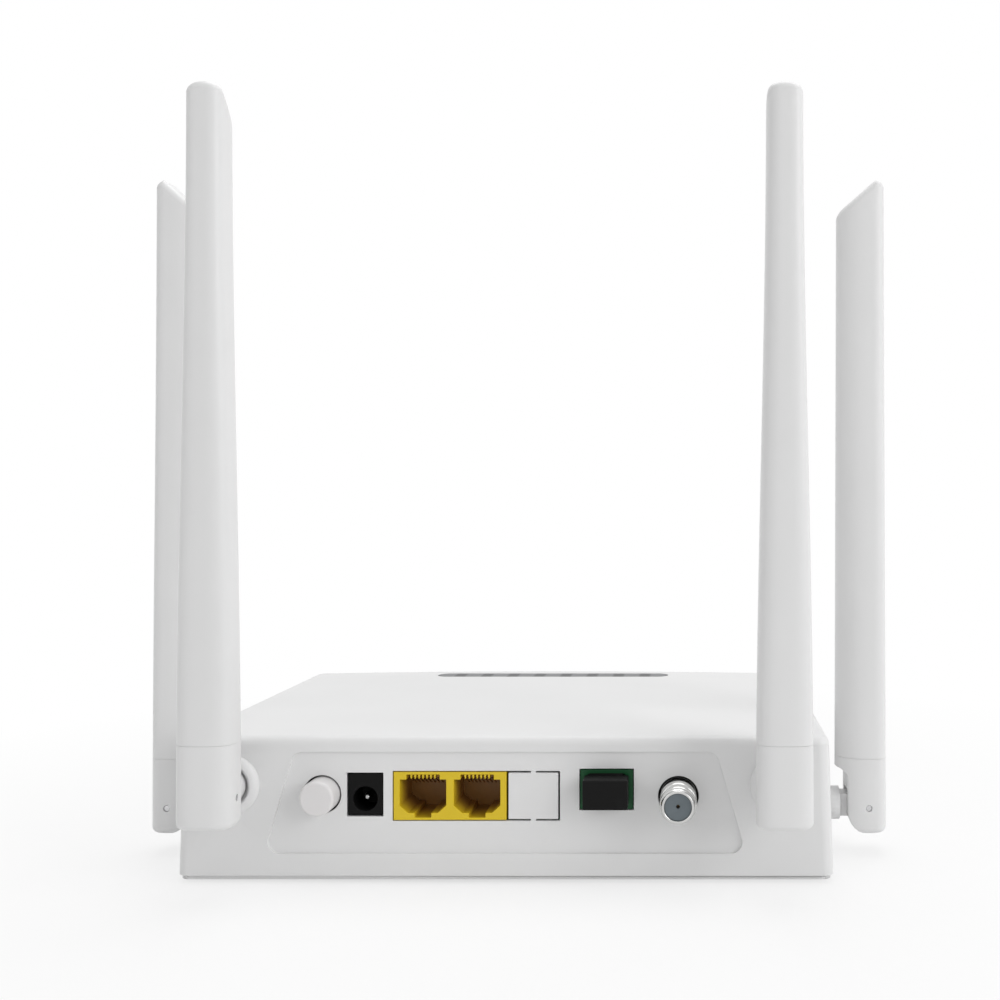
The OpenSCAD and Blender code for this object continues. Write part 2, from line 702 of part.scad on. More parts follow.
module light_ribbon() color("ivory") {
    ribbon_t = 0.4;
    bend_y = light_board_y - 3;
    translate([20, 0, 0]) rotate([90, 0, -90]) linear_extrude(10) polygon([
        [-(light_y - 2), light_board_z],
        [-(light_y - 2), light_board_z - ribbon_t],
        [-(bend_y + ribbon_t), light_board_z - ribbon_t],
        [-(bend_y + ribbon_t), board_z],
        [-bend_y, board_z],
        [-bend_y, light_board_z],
    ]);
}

// ---- antennas ----
// Half width of an antenna at a height above its lower end: an eased waist.
function half_width(up) = tip_w / 2 + (antenna_w - tip_w) / 4 * (1 + cos(180 * up / antenna_len));

// Front outline of an antenna between two heights, as a polygon in X and up.
module antenna_face(low, high, inset = 0) {
    ups = [for (i = [0 : radome_steps]) low + (high - low) * i / radome_steps];
    polygon(concat([for (u = ups) [half_width(u) - inset, u]],
        [for (i = [radome_steps : -1 : 0]) [inset - half_width(ups[i]), ups[i]]]));
}

// Side outline of the radome: a slight taper and a tip that slopes to the body.
module radome_side(inset = 0) {
    lean = (antenna_t - tip_t) / 2;
    far = -pin_to_outer;
    near = pin_to_inner;
    polygon([
        [far + inset, knuckle_h + inset], [near - inset, knuckle_h + inset],
        [near - lean - inset, antenna_len - radome_slope - inset],
        [far + lean + 2.4, antenna_len - inset], [far + lean + inset, antenna_len - 1.2 - inset],
    ]);
}

module radome_form(inset) intersection() {
    translate([0, antenna_t, -knuckle_pin_up]) rotate([90, 0, 0]) linear_extrude(2 * antenna_t)
        antenna_face(knuckle_h + inset, antenna_len, inset);
    translate([-antenna_w, 0, -knuckle_pin_up]) rotate([90, 0, 90]) linear_extrude(2 * antenna_w)
        radome_side(inset);
}

module antenna_radome(antenna) color("whitesmoke") place_antenna(antenna) difference() {
    radome_form(0);
    radome_form(radome_wall);
}

module antenna_radiator(antenna) color("darkgreen") place_antenna(antenna)
    translate([-radiator_w / 2, (pin_to_inner - pin_to_outer) / 2, knuckle_h - knuckle_pin_up + radome_wall])
        cube([radiator_w, radiator_t, antenna_len - knuckle_h - radome_slope - 2 * radome_wall - 4]);

// Side outline of the foot: round about the pin below, scooped above the collar.
module knuckle_side() {
    top = knuckle_h - knuckle_pin_up - 0.15;
    scoop_r = pin_to_inner - hub_back_r;
    scoop_up = top - 3;
    polygon(concat(
        [[-pin_to_outer, -knuckle_pin_up + 1.2], [-pin_to_outer + 1.2, -knuckle_pin_up]],
        [for (a = [-90 : 15 : 0]) [hub_back_r * cos(a), -(knuckle_pin_up - hub_back_r) + hub_back_r * sin(a)]],
        [for (a = [180 : -15 : 90]) [pin_to_inner + scoop_r * cos(a), scoop_up - scoop_r + scoop_r * sin(a)]],
        [[pin_to_inner, top], [-pin_to_outer, top]]));
}

module antenna_knuckle(antenna) color("whitesmoke") place_antenna(antenna) difference() {
    intersection() {
        translate([-antenna_w / 2, 0, 0]) rotate([90, 0, 90]) linear_extrude(antenna_w) knuckle_side();
        translate([0, antenna_t, -knuckle_pin_up]) rotate([90, 0, 0]) linear_extrude(2 * antenna_t)
            antenna_face(0, knuckle_h);
    }
    slot = tongue_t + 2 * tongue_gap;
    rotate([0, 90, 0]) cylinder(r = tongue_r + 0.5, h = slot, center = true);
    translate([-slot / 2, 0, -tongue_r - 0.5]) cube([slot, antenna_t, 2 * tongue_r + 1]);
    translate([-slot / 2, -tongue_r - 0.5, -antenna_t]) cube([slot, antenna_t + tongue_r, antenna_t]);
    rotate([0, 90, 0]) cylinder(r = pin_r, h = 2 * antenna_w, center = true);
}

module antenna_hinge_pin(antenna) color("silver") place_antenna(antenna)
    rotate([0, 90, 0]) cylinder(r = pin_r, h = 2 * half_width(knuckle_pin_up), center = true);

module antenna_swivel(antenna) color("whitesmoke") place_antenna(antenna) difference() {
    union() {
        rotate([0, 90, 0]) cylinder(r = tongue_r, h = tongue_t, center = true);
        translate([-tongue_t / 2, 0, -tongue_r + 0.8])
            cube([tongue_t, pin_out - collar_end + eps, 2 * tongue_r - 1.6]);
        translate([0, pin_out, 0]) rotate([90, 0, 0]) {
            translate([0, 0, boss_h - 1.2 + 0.1]) cylinder(r = collar_r, h = collar_end - boss_h + 1.1);
            translate([0, 0, -wall - 0.2]) cylinder(r = stub_r, h = wall + boss_h);
            translate([0, 0, -wall - 0.2 - stub_flange_t]) cylinder(r = stub_flange_r, h = stub_flange_t);
        }
    }
    translate([0, pin_out + wall + 2 * cut, 0]) rotate([90, 0, 0])
        cylinder(r = stub_bore_r, h = wall + collar_end + 2 * cut + 1);
    rotate([0, 90, 0]) cylinder(r = pin_r + run_gap, h = 2 * antenna_w, center = true);
}

// Socket place on the board for each antenna's lead.
function lead_socket(a) = [sign(a[1][0]) * (board_w / 2 - 8),
    a[2] == 0 ? board_rear_y + 12 : rear_y + side_antenna_y + 8, board_z];

module antenna_leads() color("dimgray") for (a = ANTENNAS) {
    inward = [sin(-a[2]), cos(a[2]), 0];
    mouth = a[1] + inward * (pin_out + 1);
    spot = lead_socket(a);
    lead([mouth, mouth + inward * (wall + 5), spot + [0, 0, 5], spot + [0, 0, 1.3]], lead_r);
}

module antenna_sockets() color("goldenrod") for (a = ANTENNAS)
    translate(lead_socket(a)) cylinder(r = 1.4, h = 1.3);

top_cover();
base_tray();
rubber_feet();
case_screws();
main_board();
board_screws();
power_button();
switch_plunger();
power_switch();
inlet_housing();
inlet_pin();
lan_housing();
lan_contacts();
optical_adapter();
optical_sleeve();
optical_module();
dust_cap();
catv_barrel();
catv_insulator();
catv_contact();
catv_shield_can();
light_bar();
light_board();
lights();
light_ribbon();
processor();
heat_sink();
memory_chips();
radio_shield_cans();
lan_transformers();
capacitors();
inductors();
antenna_leads();
antenna_sockets();
for (a = ANTENNAS) {
    antenna_swivel(a);
    antenna_hinge_pin(a);
    antenna_knuckle(a);
    antenna_radome(a);
    antenna_radiator(a);
}
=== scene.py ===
"""Optical network terminal: finishes, fine shapes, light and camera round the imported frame."""

import json
import math

import bmesh
import bpy
from mathutils import Matrix, Vector

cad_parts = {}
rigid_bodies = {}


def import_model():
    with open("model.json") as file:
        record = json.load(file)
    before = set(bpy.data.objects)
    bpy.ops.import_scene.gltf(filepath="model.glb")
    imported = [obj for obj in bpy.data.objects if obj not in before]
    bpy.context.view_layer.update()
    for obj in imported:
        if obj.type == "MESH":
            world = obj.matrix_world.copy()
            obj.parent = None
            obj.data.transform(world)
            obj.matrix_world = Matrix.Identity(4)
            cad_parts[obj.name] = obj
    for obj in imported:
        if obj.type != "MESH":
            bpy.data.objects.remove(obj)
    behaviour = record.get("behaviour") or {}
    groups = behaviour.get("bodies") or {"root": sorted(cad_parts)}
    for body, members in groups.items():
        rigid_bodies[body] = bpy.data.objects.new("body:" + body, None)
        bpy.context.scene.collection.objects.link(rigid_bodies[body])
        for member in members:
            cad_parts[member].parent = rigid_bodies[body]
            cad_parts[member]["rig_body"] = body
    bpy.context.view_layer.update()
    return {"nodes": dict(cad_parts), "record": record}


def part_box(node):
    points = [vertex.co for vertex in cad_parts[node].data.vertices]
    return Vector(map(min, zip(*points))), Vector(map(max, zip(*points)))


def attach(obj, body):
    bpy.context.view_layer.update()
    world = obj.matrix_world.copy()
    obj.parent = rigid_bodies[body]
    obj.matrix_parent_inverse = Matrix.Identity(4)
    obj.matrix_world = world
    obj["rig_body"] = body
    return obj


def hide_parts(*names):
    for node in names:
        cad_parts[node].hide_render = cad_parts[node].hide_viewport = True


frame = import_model()

MM = 0.001
WALL = 2.2 * MM
PANEL_DEPTH = 0.8 * MM  # how far the rear panel lies in the rear wall
SOCKETS_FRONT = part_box("lan_housing")[0].y  # the network sockets are flush with the panel
REAR_WALL_Y = SOCKETS_FRONT - PANEL_DEPTH
ANTENNAS = ("rear_left", "rear_right", "side_left", "side_right")

LENS, SENSOR = 41.2, 36
SIDE_SHIFT = -0.19  # share of the picture's width
EYE = (47.7 * MM, REAR_WALL_Y - 295 * MM, 99 * MM)
LAMPS = (  # name, place, size in metres, watts
    ("overhead", (0.1, 0.35, 1.3), 1.1, 7.6),
    ("left_fill", (-1.1, -0.9, 0.7), 0.9, 1.8),
    ("right_fill", (1.2, -0.7, 0.6), 0.8, 7.5),
)
LAMP_AIM = (0, 0, 0.05)
FLOOR_HALF = 4
WHITE_BELOW, WHITER_OUTWARDS = 0.6, 1.4  # how plain the floor is below the object, and its rise a metre


# ---------------------------------------------------------------- camera, light and floor
def make_camera():
    """Level, a little right of the middle, so that the depth lines run up to the right."""
    data = bpy.data.cameras.new("viewpoint")
    data.sensor_width = SENSOR
    data.lens = LENS
    data.shift_x = SIDE_SHIFT
    data.clip_end = 20
    camera = bpy.data.objects.new("viewpoint", data)
    bpy.context.scene.collection.objects.link(camera)
    camera.location = EYE
    camera.rotation_euler = (math.radians(90), 0, 0)
    bpy.context.scene.camera = camera


def soft_lamp(name, place, aim, size, watts):
    """A square studio lamp that faces a point."""
    data = bpy.data.lights.new(name, "AREA")
    data.size = size
    data.energy = watts
    lamp = bpy.data.objects.new(name, data)
    bpy.context.scene.collection.objects.link(lamp)
    lamp.location = place
    lamp.rotation_euler = (Vector(place) - Vector(aim)).to_track_quat("Z", "Y").to_euler()


# ---------------------------------------------------------------- node trees as expressions
class Wire:
    """One output socket; arithmetic on it adds Math nodes to its tree."""

    def __init__(self, tree, socket):
        self.tree, self.socket = tree, socket

    def maths(self, operation, *others):
        """A Math node on this value and up to two others."""
        return self.tree.add("ShaderNodeMath", {"operation": operation}, self, *others).out()

    def __add__(self, other):
        return self.maths("ADD", other)

    def __radd__(self, other):
        return self.maths("ADD", other)

    def __sub__(self, other):
        return self.maths("SUBTRACT", other)

    def __rsub__(self, other):
        return self.tree.add("ShaderNodeMath", {"operation": "SUBTRACT"}, other, self).out()

    def __mul__(self, other):
        return self.maths("MULTIPLY", other)

    def __rmul__(self, other):
        return self.maths("MULTIPLY", other)

    def __truediv__(self, other):
        return self.maths("DIVIDE", other)

    def __pow__(self, other):
        return self.maths("POWER", other)

    def __neg__(self):
        return self.maths("MULTIPLY", -1)

    def __gt__(self, other):
        return self.maths("GREATER_THAN", other)

    def clamp(self):
        """Held between 0 and 1."""
        return self.maths("MAXIMUM", 0).maths("MINIMUM", 1)


class Made:
    """A node that was just added, and its outputs as wires."""

    def __init__(self, tree, node):
        self.tree, self.node = tree, node

    def out(self, name=0):
        """An output by its name or place."""
        return Wire(self.tree, self.node.outputs[name])

    def xyz(self, name=0):
        """A vector output as three values."""
        parts = self.tree.add("ShaderNodeSeparateXYZ", {}, self.out(name))
        return parts.out("X"), parts.out("Y"), parts.out("Z")


class Tree:
    """Adds nodes to one node tree by type, settings and inputs."""

    def __init__(self, nodes):
        self.nodes = nodes

    def add(self, kind, settings=None, *inputs, **named):
        """A node whose settings are set first, then its inputs by place or by name."""
        node = self.nodes.nodes.new(kind)
        for key, value in (settings or {}).items():
            setattr(node, key, value)
        for place, value in [*enumerate(inputs), *named.items()]:
            key = place if isinstance(place, int) else place.replace("_", " ")
            self.join(node.inputs[key], value)
        return Made(self, node)

    def join(self, socket, value):
        """Links a wire to an input, or sets the input's own value."""
        if isinstance(value, Wire):
            self.nodes.links.new(value.socket, socket)
        elif value is not None:
            socket.default_value = value

    def mix(self, factor, first, second):
        """A colour between two others."""
        node = self.add("ShaderNodeMix", {"data_type": "RGBA"}).node
        self.join(node.inputs["Factor"], factor)
        for name, value in (("A", first), ("B", second)):
            socket = next(s for s in node.inputs if s.name == name and s.type == "RGBA")
            self.join(socket, value if isinstance(value, Wire) else (*value, 1))
        return Wire(self, next(s for s in node.outputs if s.type == "RGBA"))

    def noise(self, place, scale, detail=2.0, roughness=0.5):
        """Cloudy noise at a number of features to the metre."""
        made = self.add("ShaderNodeTexNoise", {}, Vector=place, Scale=scale, Detail=detail)
        made.node.inputs["Roughness"].default_value = roughness
        return made.out("Fac")


class Finish(Tree):
    """A material with its surface shader; colour, roughness and bump are set through it."""

    def __init__(self, name, roughness=0.5, metallic=0.0, coat=0.0):
        self.material = bpy.data.materials.new(name)
        self.material.use_nodes = True
        super().__init__(self.material.node_tree)
        self.shader = self.nodes.nodes["Principled BSDF"]
        self.shader.inputs["Roughness"].default_value = roughness
        self.shader.inputs["Metallic"].default_value = metallic
        self.shader.inputs["Coat Weight"].default_value = coat
        self.coordinates = self.add("ShaderNodeTexCoord")
        self.place = self.coordinates.out("Object")

    def paint(self, colour, roughness=None):
        """Sets what varies over the surface."""
        self.join(self.shader.inputs["Base Color"], colour)
        self.join(self.shader.inputs["Roughness"], roughness)

    def emboss(self, height, depth, strength=1.0):
        """Bump from a height between 0 and 1, its depth in metres."""
        bump = self.add("ShaderNodeBump", {}, Height=height)
        bump.node.inputs["Distance"].default_value = depth
        bump.node.inputs["Strength"].default_value = strength
        self.join(self.shader.inputs["Normal"], bump.out("Normal"))
        return self


# ---------------------------------------------------------------- finishes
MOULD_GRAIN = 0.01 * MM  # depth of the mould's texture
MOTTLE = 0.02  # how far the colour strays from the mean
TOOL_MARKS, WEAVE, TRACKS = 9000, 5200, 2100  # radians to the metre


def moulded(name, colour, roughness=0.42, specular=0.4, painted_shade=None):
    """Moulded plastic: spark-eroded grain and faint clouding; in a deep socket, painted shade darkens the
    colour along +Y.
    """
    f = Finish(name, roughness)
    f.shader.inputs["Specular IOR Level"].default_value = specular
    clouds = f.noise(f.place, scale=45, detail=3)
    fine = f.noise(f.place, scale=2600, detail=2, roughness=0.6)
    dark = [c * (1 - MOTTLE) for c in colour]
    light = [min(c * (1 + MOTTLE), 1) for c in colour]
    shade = f.mix(clouds, dark, light)
    # painted shade: the colour darkens from the socket's mouth inwards along +Y, towards a dark brown
    if painted_shade:
        mouth, length, shaded_colour = painted_shade
        _, y, _ = f.coordinates.xyz("Object")
        shade = f.mix(((y - mouth) / length).clamp() ** 0.7, shade, shaded_colour)
    f.paint(shade, roughness - 0.05 + 0.1 * fine)
    return f.emboss(fine, MOULD_GRAIN, 0.6).material


def rubber(name, colour):
    """Soft rubber: dull, with fine dust in the grain."""
    f = Finish(name, 0.62)
    f.shader.inputs["Specular IOR Level"].default_value = 0.15
    fine = f.noise(f.place, scale=1900, detail=3, roughness=0.65)
    dust = (f.noise(f.place, scale=160, detail=4) - 0.55).clamp()
    f.paint(f.mix(dust, colour, [c + 0.02 for c in colour]), 0.55 + 0.16 * fine)
    return f.emboss(fine, 0.00002, 0.5).material


def plated(name, colour, roughness=0.22, rings=0.0):
    """Plated metal: faint tool rings along Y and a slight haze."""
    f = Finish(name, roughness, 1.0)
    haze = f.noise(f.place, scale=300, detail=4)
    _, y, _ = f.coordinates.xyz("Object")
    tooling = (y * TOOL_MARKS + haze * 2).maths("SINE") * 0.5 + 0.5
    f.paint(f.mix(haze, [c * 0.88 for c in colour], colour), roughness - 0.06 + 0.14 * haze)
    if rings:
        f.emboss(tooling, rings, 0.35)
    return f.material


def brushed(name, colour, roughness=0.34):
    """Sheet metal with rolling marks along X."""
    f = Finish(name, roughness, 1.0)
    stretched = f.add("ShaderNodeMapping", {"vector_type": "POINT"}, Vector=f.place)
    stretched.node.inputs["Scale"].default_value = (40, 1800, 1800)
    marks = f.noise(stretched.out(), scale=1, detail=3)
    f.paint(f.mix(marks, [c * 0.85 for c in colour], colour), roughness - 0.08 + 0.18 * marks)
    return f.emboss(marks, 0.000008, 0.4).material


def circuit_board(name):
    """Green solder mask over woven glass, with copper tracks showing faintly."""
    f = Finish(name, 0.32, coat=0.3)
    x, y, _ = f.coordinates.xyz("Object")
    weave = (x * WEAVE).maths("SINE") * (y * WEAVE).maths("SINE") * 0.5 + 0.5
    bend = f.noise(f.place, scale=60, detail=1)
    tracks = ((x * TRACKS + bend * 14).maths("SINE") > 0.55) * (f.noise(f.place, scale=24, detail=1) > 0.5)
    base = f.mix(weave, (0.012, 0.085, 0.035), (0.02, 0.12, 0.05))
    f.paint(f.mix(tracks * 0.7, base, (0.05, 0.24, 0.09)), 0.28 + 0.1 * weave)
    return f.emboss(tracks, 0.00004, 0.6).material


LIGHT_COUNT = 8
END_TO_LIGHT = 8 * MM  # from an end of the bar to its nearest light


def smoked_bar(name):
    """Smoked diffuser with one paler window over each light."""
    f = Finish(name, 0.4)
    f.shader.inputs["Specular IOR Level"].default_value = 0.12
    x, _, _ = f.coordinates.xyz("Object")
    low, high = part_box("light_bar")
    pitch = (high.x - low.x - 2 * END_TO_LIGHT) / (LIGHT_COUNT - 1)
    across = ((x / pitch + 0.5).maths("FRACT") - 0.5).maths("ABSOLUTE")
    window = ((0.34 - across) * 12).clamp()
    haze = f.noise(f.place, scale=220, detail=3)
    dark = f.mix(haze, (0.075, 0.078, 0.08), (0.1, 0.103, 0.105))
    f.paint(f.mix(window * 0.8, dark, (0.23, 0.235, 0.24)), 0.36 + 0.08 * haze)
    return f.emboss(haze, 0.00001, 0.3).material


def floor_finish():
    """Pale floor that fades to plain white away from the object."""
    f = Finish("pale_floor", 0.85)
    x, y, _ = f.coordinates.xyz("Object")
    far = ((x * x + y * y).maths("SQRT") * WHITER_OUTWARDS + WHITE_BELOW).clamp()
    clouds = f.noise(f.place, scale=6, detail=2)
    f.paint(f.mix(clouds, (0.86, 0.86, 0.86), (0.88, 0.88, 0.88)))
    glow = f.add("ShaderNodeEmission", {}, Color=(1, 1, 1, 1), Strength=1.0)
    rays = f.add("ShaderNodeLightPath")
    seen = rays.out("Is Camera Ray").maths("MAXIMUM", rays.out("Is Glossy Ray"))
    blend = f.add("ShaderNodeMixShader", {}, far * seen, Wire(f, f.shader.outputs[0]), glow.out())
    f.join(f.nodes.nodes["Material Output"].inputs["Surface"], blend.out())
    return f.material


def make_world():
    """White where it is seen or mirrored, and half as strong as a light."""
    world = bpy.data.worlds.new("studio")
    world.use_nodes = True
    bpy.context.scene.world = world
    t = Tree(world.node_tree)
    rays = t.add("ShaderNodeLightPath")
    seen = rays.out("Is Camera Ray").maths("MAXIMUM", rays.out("Is Glossy Ray"))
    seen = seen.maths("MAXIMUM", rays.out("Is Transmission Ray"))
    background = world.node_tree.nodes["Background"]
    t.join(background.inputs["Color"], (1, 1, 1, 1))
    t.join(background.inputs["Strength"], 0.5 + 0.5 * seen)


def make_studio():
    """World, lamps and floor."""
    bpy.context.scene.view_settings.view_transform = "Standard"
    make_world()
    for name, place, size, watts in LAMPS:
        soft_lamp(name, place, LAMP_AIM, size, watts)
    make_floor()


def make_floor():
    """A wide square below the object's feet."""
    mesh = bpy.data.meshes.new("floor")
    corners = [(x * FLOOR_HALF, y * FLOOR_HALF, 0) for x, y in ((-1, -1), (1, -1), (1, 1), (-1, 1))]
    mesh.from_pydata(corners, [], [(0, 1, 2, 3)])
    floor = bpy.data.objects.new("floor", mesh)
    bpy.context.scene.collection.objects.link(floor)
    mesh.materials.append(floor_finish())


# ---------------------------------------------------------------- mesh helpers
SHARP = 35  # degrees between two faces from which an edge is rounded
DOUBLES_WITHIN = 0.0005 * MM
Z_TO_Y = Matrix.Rotation(-math.pi / 2, 4, "X")
FLAT_WITHIN = 0.4  # degrees


def new_piece(name, mesh, finish):
    """An object at the origin with one finish."""
    piece = bpy.data.objects.new(name, mesh)
    bpy.context.scene.collection.objects.link(piece)
    mesh.materials.clear()
    mesh.materials.append(finish)
    return piece


def baked(piece):
    """The piece's modifiers turned into its plain mesh."""
    graph = bpy.context.evaluated_depsgraph_get()
    mesh = bpy.data.meshes.new_from_object(piece.evaluated_get(graph))
    piece.modifiers.clear()
    piece.data = mesh
    return piece


def soften(piece, width, segments=2, angle=SHARP, limit="ANGLE"):
    """Small rounds on sharp edges, with flat faces kept flat in the shading."""
    bevel = piece.modifiers.new("rounds", "BEVEL")
    bevel.width = width
    bevel.segments = segments
    bevel.limit_method = limit
    bevel.angle_limit = math.radians(angle)
    bevel.use_clamp_overlap = False
    bevel.miter_outer = "MITER_ARC"
    return smooth(baked(piece))


def smooth(piece, angle=32):
    """Smooth shading that keeps edges sharper than the angle."""
    for face in piece.data.polygons:
        face.use_smooth = True
    piece.data.set_sharp_from_angle(angle=math.radians(angle))
    weights = piece.modifiers.new("weights", "WEIGHTED_NORMAL")
    weights.keep_sharp = True
    baked(piece)
    return piece


def welded(node, joined=True):
    """A copy of a CAD node's surface with doubles merged; flat parts are joined unless told not to.

    A node whose flat parts have holes in them isn't joined, because rounds would then close the holes.
    """
    mesh = frame["nodes"][node].data.copy()
    shape = bmesh.new()
    shape.from_mesh(mesh)
    bmesh.ops.remove_doubles(shape, verts=shape.verts, dist=DOUBLES_WITHIN)
    if joined:
        flat = math.radians(FLAT_WITHIN)
        bmesh.ops.dissolve_limit(shape, angle_limit=flat, verts=shape.verts, edges=shape.edges)
    shape.to_mesh(mesh)
    shape.free()
    return mesh


def finished_node(node, finish, width, segments=2, joined=True):
    """A CAD node with its edges rounded, in the place of the plain one."""
    piece = new_piece(node + "_finished", welded(node, joined), finish)
    stand_for(soften(piece, width, segments), node)


PANEL_HALF_WIDTH = 62 * MM  # the rear panel's openings and the light slot lie within it
PANEL_LOW = 4 * MM  # they are all above this height
SPARE = 0.3 * MM


def mark_outer_openings(mesh):
    """Marks the sharp edges of the rear panel and of the roof's slot, for their rounds."""
    panel_back = REAR_WALL_Y + PANEL_DEPTH + WALL
    roof_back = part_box("top_cover")[1].z - WALL - SPARE
    shape = bmesh.new()
    shape.from_mesh(mesh)
    weight = shape.edges.layers.float.new("bevel_weight_edge")
    for edge in shape.edges:
        inside = all(abs(v.co.x) < PANEL_HALF_WIDTH and v.co.z > PANEL_LOW for v in edge.verts)
        outer = all(v.co.y < panel_back or v.co.z > roof_back for v in edge.verts)
        if inside and outer and len(edge.link_faces) == 2:
            edge[weight] = float(edge.calc_face_angle() > math.radians(SHARP))
    shape.to_mesh(mesh)
    shape.free()


def make_cover(finish):
    """The top cover. Only the edges round its openings get rounds; the walls' are built in."""
    mesh = welded("top_cover", joined=False)
    mark_outer_openings(mesh)
    piece = new_piece("top_cover_finished", mesh, finish)
    stand_for(soften(piece, 0.12 * MM, limit="WEIGHT"), "top_cover")


def make_base(finish):
    """The base with its corners as built, shaded smooth."""
    piece = new_piece("base_tray_finished", welded("base_tray", joined=False), finish)
    stand_for(smooth(piece), "base_tray")


def add_to(piece, node):
    """An extra piece that rides on a node's body."""
    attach(piece, frame["nodes"][node]["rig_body"])


def stand_for(piece, node):
    """The piece rides on its node's body and replaces it."""
    add_to(piece, node)
    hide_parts(node)


def lathe(name, profile, finish, place, steps=64):
    """A closed solid turned about Y. The profile is (radius, distance) from one end to the other."""
    shape = bmesh.new()
    around = [(math.cos(a), math.sin(a)) for a in [2 * math.pi * i / steps for i in range(steps)]]
    rings = []
    for radius, along in profile:
        points = around if radius else [(0, 0)]
        rings.append([shape.verts.new((radius * c, radius * s, along)) for c, s in points])
    for low, high in zip(rings, rings[1:]):
        for i in range(steps):
            j = (i + 1) % steps
            corners = [low[i % len(low)], low[j % len(low)], high[j % len(high)], high[i % len(high)]]
            shape.faces.new(list(dict.fromkeys(corners)))
    if len(rings[0]) > 1 and len(rings[-1]) > 1:
        for i in range(steps):
            j = (i + 1) % steps
            shape.faces.new([rings[-1][i], rings[-1][j], rings[0][j], rings[0][i]])
    bmesh.ops.recalc_face_normals(shape, faces=shape.faces)
    mesh = bpy.data.meshes.new(name)
    shape.to_mesh(mesh)
    shape.free()
    mesh.transform(Matrix.Translation(place) @ Z_TO_Y)
    return smooth(new_piece(name, mesh, finish), 40)


def arc(cx, cy, r, start, end, steps):
    """Points of an arc in a profile, angles in degrees."""
    turn = [math.radians(start + (end - start) * i / steps) for i in range(steps + 1)]
    return [(cx + r * math.cos(a), cy + r * math.sin(a)) for a in turn]


def ring_profile(inner, outer, thick):
    """A flat ring in a lathe's profile."""
    return [(inner, 0), (outer, 0), (outer, thick), (inner, thick)]


# ---------------------------------------------------------------- geometry trees
def geometry_tree(name, inputs):
    """An empty geometry tree with named number inputs; returns it with its builder and inputs."""
    group = bpy.data.node_groups.new(name, "GeometryNodeTree")
    group.interface.new_socket("Geometry", in_out="INPUT", socket_type="NodeSocketGeometry")
    group.interface.new_socket("Geometry", in_out="OUTPUT", socket_type="NodeSocketGeometry")
    for label, kind in inputs:
        group.interface.new_socket(label, in_out="INPUT", socket_type=kind)
    tree = Tree(group)
    start = tree.add("NodeGroupInput")
    end = tree.add("NodeGroupOutput")
    return group, tree, start, end.node


def set_inputs(piece, group, values):
    """Adds a geometry tree to a piece and sets its inputs by their identifiers."""
    modifier = piece.modifiers.new(group.name, "NODES")
    modifier.node_group = group
    for item in group.interface.items_tree:
        if item.in_out == "INPUT" and item.name in values:
            modifier[item.identifier] = values[item.name]
    return baked(piece)


def finish_tree(t, start, end, made):
    """Ends a tree with real geometry and its finish."""
    real = t.add("GeometryNodeRealizeInstances", {}, made.out())
    painted = t.add("GeometryNodeSetMaterial", {}, Geometry=real.out(), Material=start.out("Finish"))
    t.join(end.inputs[0], painted.out())


def row_tree():
    """Repeats a small mesh along X at an even pitch."""
    group, t, start, end = geometry_tree("even_row", [
        ("Count", "NodeSocketInt"), ("Pitch", "NodeSocketFloat"), ("Finish", "NodeSocketMaterial")])
    offset = t.add("ShaderNodeCombineXYZ", {}, start.out("Pitch"), 0.0, 0.0)
    line = t.add("GeometryNodeMeshLine", {"mode": "OFFSET"}, Count=start.out("Count"), Offset=offset.out())
    copies = t.add("GeometryNodeInstanceOnPoints", {}, Points=line.out(), Instance=start.out("Geometry"))
    finish_tree(t, start, end, copies)
    return group


def thread_tree():
    """A screw thread's ridge: a helix about Z with a six-sided profile."""
    group, t, start, end = geometry_tree("screw_thread", [
        ("Turns", "NodeSocketFloat"), ("Radius", "NodeSocketFloat"), ("Length", "NodeSocketFloat"),
        ("Ridge", "NodeSocketFloat"), ("Finish", "NodeSocketMaterial")])
    helix = t.add("GeometryNodeCurveSpiral", {}, 48, start.out("Turns"), start.out("Radius"),
                  start.out("Radius"), start.out("Length"))
    profile = t.add("GeometryNodeCurvePrimitiveCircle", {"mode": "RADIUS"}, Resolution=6,
                    Radius=start.out("Ridge"))
    finish_tree(t, start, end, t.add("GeometryNodeCurveToMesh", {}, helix.out(), profile.out(), True))
    return group


def wire_tree():
    """Sweeps a bent wire along the input's edges and repeats it along X."""
    group, t, start, end = geometry_tree("sprung_wires", [
        ("Count", "NodeSocketInt"), ("Pitch", "NodeSocketFloat"), ("Radius", "NodeSocketFloat"),
        ("Finish", "NodeSocketMaterial")])
    path = t.add("GeometryNodeMeshToCurve", {}, Mesh=start.out("Geometry"))
    ring = t.add("GeometryNodeCurvePrimitiveCircle", {"mode": "RADIUS"}, Resolution=10,
                 Radius=start.out("Radius"))
    wire = t.add("GeometryNodeCurveToMesh", {}, path.out(), ring.out(), True)
    offset = t.add("ShaderNodeCombineXYZ", {}, start.out("Pitch"), 0.0, 0.0)
    line = t.add("GeometryNodeMeshLine", {"mode": "OFFSET"}, Count=start.out("Count"), Offset=offset.out())
    copies = t.add("GeometryNodeInstanceOnPoints", {}, Points=line.out(), Instance=wire.out())
    finish_tree(t, start, end, copies)
    return group


